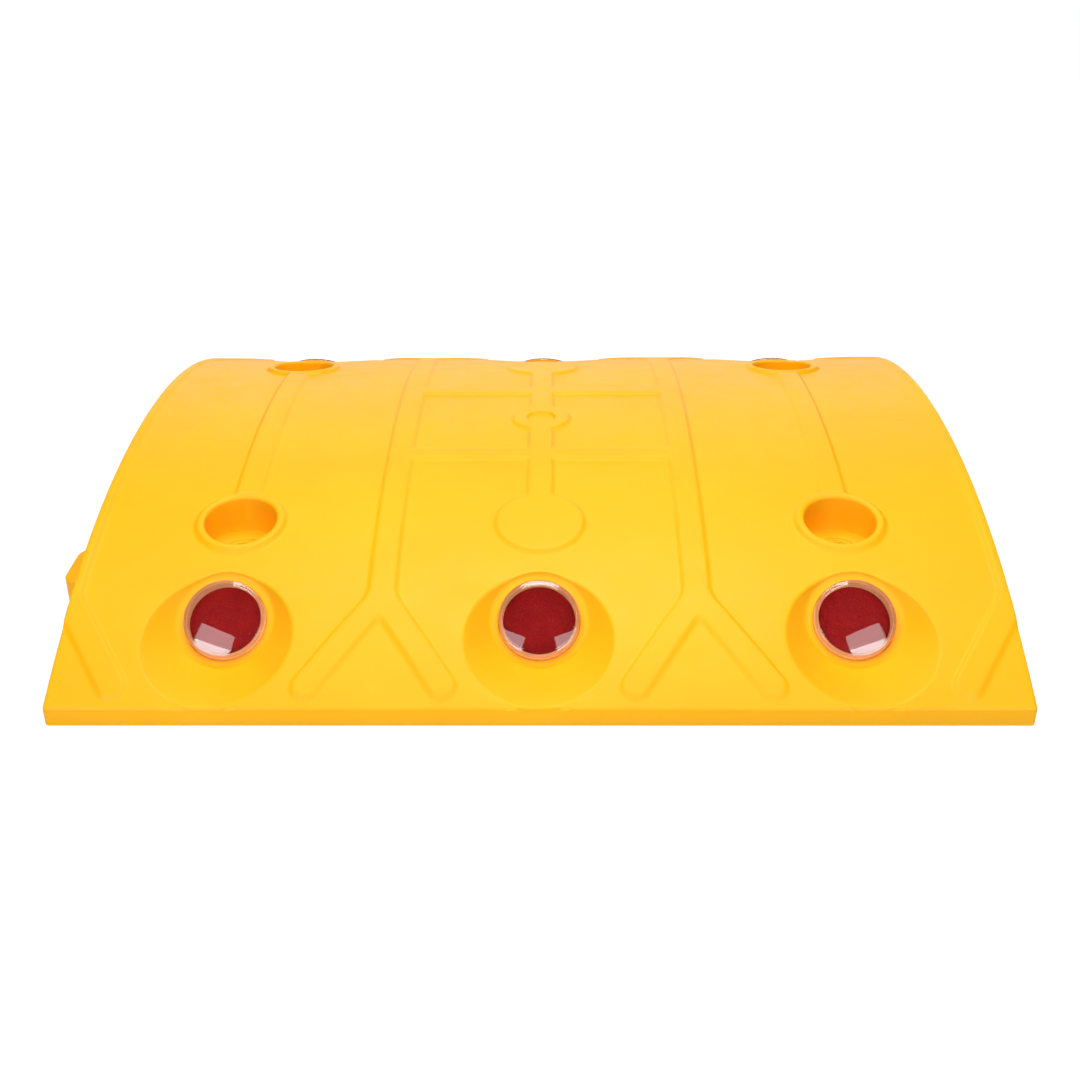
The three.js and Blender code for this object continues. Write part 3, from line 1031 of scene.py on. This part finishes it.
def cream_backing():
    """Cream moulded plastic with a slight mould grain."""
    nodes = Nodes("cream_backing")
    nodes.set(IOR=1.5)
    tone = nodes.remap(nodes.noise(120, 3, 0.5), 0.3, 0.7, 0, 1)
    colour = nodes.mix(tone, (0.86, 0.66, 0.4), (0.92, 0.74, 0.48))
    roughness = nodes.remap(nodes.noise(300, 3, 0.5), 0.3, 0.7, 0.35, 0.55)
    return nodes.finish(colour, roughness, nodes.bump(nodes.noise(2500, 2, 0.5), 0.15, 0.0001))


def foam_tape():
    """Off-white closed-cell foam."""
    nodes = Nodes("foam_tape")
    nodes.set(Specular_IOR_Level=0.3)
    pores = nodes.remap(nodes.cells(1600), 0.0, 0.5, 0, 1)
    colour = nodes.mix(pores, (0.45, 0.45, 0.42), (0.72, 0.72, 0.68))
    roughness = nodes.remap(pores, 0, 1, 0.8, 0.95)
    return nodes.finish(colour, roughness, nodes.bump(pores, 0.5, 0.0002))


def pale_floor():
    """Plain white studio floor: dark grey, with an even glow of its own so that it reads as white.
    """
    nodes = Nodes("pale_floor")
    tone = nodes.remap(nodes.noise(2, 2, 0.5), 0.3, 0.7, 0, 1)
    nodes.set(Roughness=0.9, Specular_IOR_Level=0.1, Emission_Strength=FLOOR_GLOW)
    nodes.shader.inputs["Emission Color"].default_value = (1, 1, 1, 1)
    return nodes.finish(nodes.mix(tone, (0.11, 0.11, 0.11), (0.13, 0.13, 0.13)))


# ---- stage --------------------------------------------------------------------------------------

FLOOR_SIZE, FLOOR_TILES = 30.0, 12
HORIZON_LEVEL, SKY_LEVEL = 0.025, 0.0076
CAMERA_PLACE = (0.00835, -0.84706, 0.42961)
CAMERA_LENS = 48.74
CAMERA_SENSOR = 36.0
CAMERA_PITCH, CAMERA_YAW, CAMERA_ROLL = 28.025, -0.653, 0.371


def add_camera():
    """The camera looks along +Y, downwards, with a small yaw and roll (degrees)."""
    data = bpy.data.cameras.new("camera")
    data.lens = CAMERA_LENS
    data.sensor_width = CAMERA_SENSOR
    camera = bpy.data.objects.new("camera", data)
    bpy.context.scene.collection.objects.link(camera)
    pitch, yaw, roll = (math.radians(a) for a in (CAMERA_PITCH, CAMERA_YAW, CAMERA_ROLL))
    ahead = Vector((math.sin(yaw), math.cos(yaw), 0))
    right = Vector((math.cos(yaw), -math.sin(yaw), 0))
    forward = math.cos(pitch) * ahead - math.sin(pitch) * Vector((0, 0, 1))
    down = forward.cross(right)
    turned_right = math.cos(roll) * right + math.sin(roll) * down
    turned_down = math.cos(roll) * down - math.sin(roll) * right
    matrix = Matrix((turned_right, -turned_down, -forward)).transposed().to_4x4()
    matrix.translation = CAMERA_PLACE
    camera.matrix_world = matrix
    bpy.context.scene.camera = camera


def add_area_light(name, place, target, size, radiance, drop=0.0, fills=True, shows=True):
    """A soft rectangular lamp that faces the target.

    Its centre lies the distance drop below the given place, in its own plane. It lights matte
    surfaces if it fills, and is mirrored in glossy ones and enters the lenses if it shows.
    """
    data = bpy.data.lights.new(name, "AREA")
    data.shape = "RECTANGLE"
    data.size, data.size_y = size
    data.energy = 4 * radiance * size[0] * size[1]
    lamp = bpy.data.objects.new(name, data)
    bpy.context.scene.collection.objects.link(lamp)
    turn = (Vector(target) - Vector(place)).to_track_quat("-Z", "Y")
    lamp.location = Vector(place) + turn @ Vector((0, -drop, 0))
    lamp.rotation_euler = turn.to_euler()
    lamp.visible_camera = False
    lamp.visible_diffuse = fills
    lamp.visible_transmission = shows
    lamp.visible_glossy = shows


def add_sky():
    """Lights faintly, most near the horizon; the camera sees it as white."""
    world = bpy.data.worlds.new("studio")
    bpy.context.scene.world = world
    world.use_nodes = True
    tree = world.node_tree
    background = tree.nodes["Background"]
    direction = tree.nodes.new("ShaderNodeTexCoord")
    split = tree.nodes.new("ShaderNodeSeparateXYZ")
    ramp = tree.nodes.new("ShaderNodeMapRange")
    tree.links.new(direction.outputs["Generated"], split.inputs["Vector"])
    tree.links.new(split.outputs["Z"], ramp.inputs["Value"])
    ends = {"From Min": 0.0, "From Max": 0.3, "To Min": HORIZON_LEVEL, "To Max": SKY_LEVEL}
    for key, number in ends.items():
        ramp.inputs[key].default_value = number
    seen = tree.nodes.new("ShaderNodeLightPath")
    level = tree.nodes.new("ShaderNodeMath")
    level.operation = "MAXIMUM"
    tree.links.new(ramp.outputs["Result"], level.inputs[0])
    tree.links.new(seen.outputs["Is Camera Ray"], level.inputs[1])
    tree.links.new(level.outputs["Value"], background.inputs["Strength"])
    background.inputs["Color"].default_value = (1, 1, 1, 1)


def add_floor():
    half, across = FLOOR_SIZE / 2 / MM, FLOOR_TILES + 1
    ticks = np.linspace(-half, half, across)
    points = [(x, y, 0) for y in ticks for x in ticks]
    faces = []
    for row in range(FLOOR_TILES):
        for k in range(row * across, row * across + FLOOR_TILES):
            faces.append((k, k + 1, k + across + 1, k + across))
    floor = make_object("floor", points, faces)
    floor.data.materials.append(pale_floor())


def add_stage():
    add_camera()
    add_sky()
    add_floor()
    for side in (-1, 1):
        front = (side * 0.345, -0.56, 0.29), (side * 0.05, -0.1, 0.03)
        add_area_light("front_softbox_upper", *front, (0.37, 0.15), 2.2, drop=-0.075, fills=False)
        add_area_light("front_softbox_lower", *front, (0.37, 0.15), 6.8, drop=0.075, fills=False)
        add_area_light("front_fill", *front, (0.37, 0.3), 2.2, shows=False)
    overhead = (0, 0.1, 0.8), (0, 0.08, 0)
    add_area_light("overhead_softbox", *overhead, (0.5, 0.25), 9.0, fills=False)
    add_area_light("overhead_fill", *overhead, (1.2, 0.3), 4.4, shows=False)
    add_area_light("near_fill", (0, -0.45, 0.6), (0, -0.05, 0.03), (1.1, 0.4), 3.0, shows=False)
    add_area_light("rear_softbox", (0, 1.3, 0.5), (0, 0, 0.05), (1.6, 0.9), 1.1)
    bpy.context.scene.view_settings.view_transform = "Standard"


# ---- assembly -----------------------------------------------------------------------------------

def place_piece(piece, node, material):
    piece.data.materials.clear()
    piece.data.materials.append(material)
    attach(piece, "root")
    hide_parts(node)


def build():
    place_piece(moulded_body(), "hump_body", yellow_moulding())
    pieces = {
        "backing_disc": (backing_profile(), "cream_backing", cream_backing()),
        "red_film": (film_profile(), "red_film", red_film()),
        "lens": (lens_profile(), "clear_lens", clear_lens()),
    }
    tape = foam_tape()
    for column, side_name in COLUMNS.items():
        for end, end_name in ENDS.items():
            place = f"{end_name}_{side_name}"
            for kind, (profile, slot, material) in pieces.items():
                piece = turned(f"{kind}_{place}_fine", profile, column, end)
                if kind == "lens":
                    mark_skirt(piece, column, end)
                place_piece(piece, f"{kind}_{place}", material)
            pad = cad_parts[f"adhesive_pad_{place}"]
            pad.data.materials.clear()
            pad.data.materials.append(tape)


add_stage()
build()
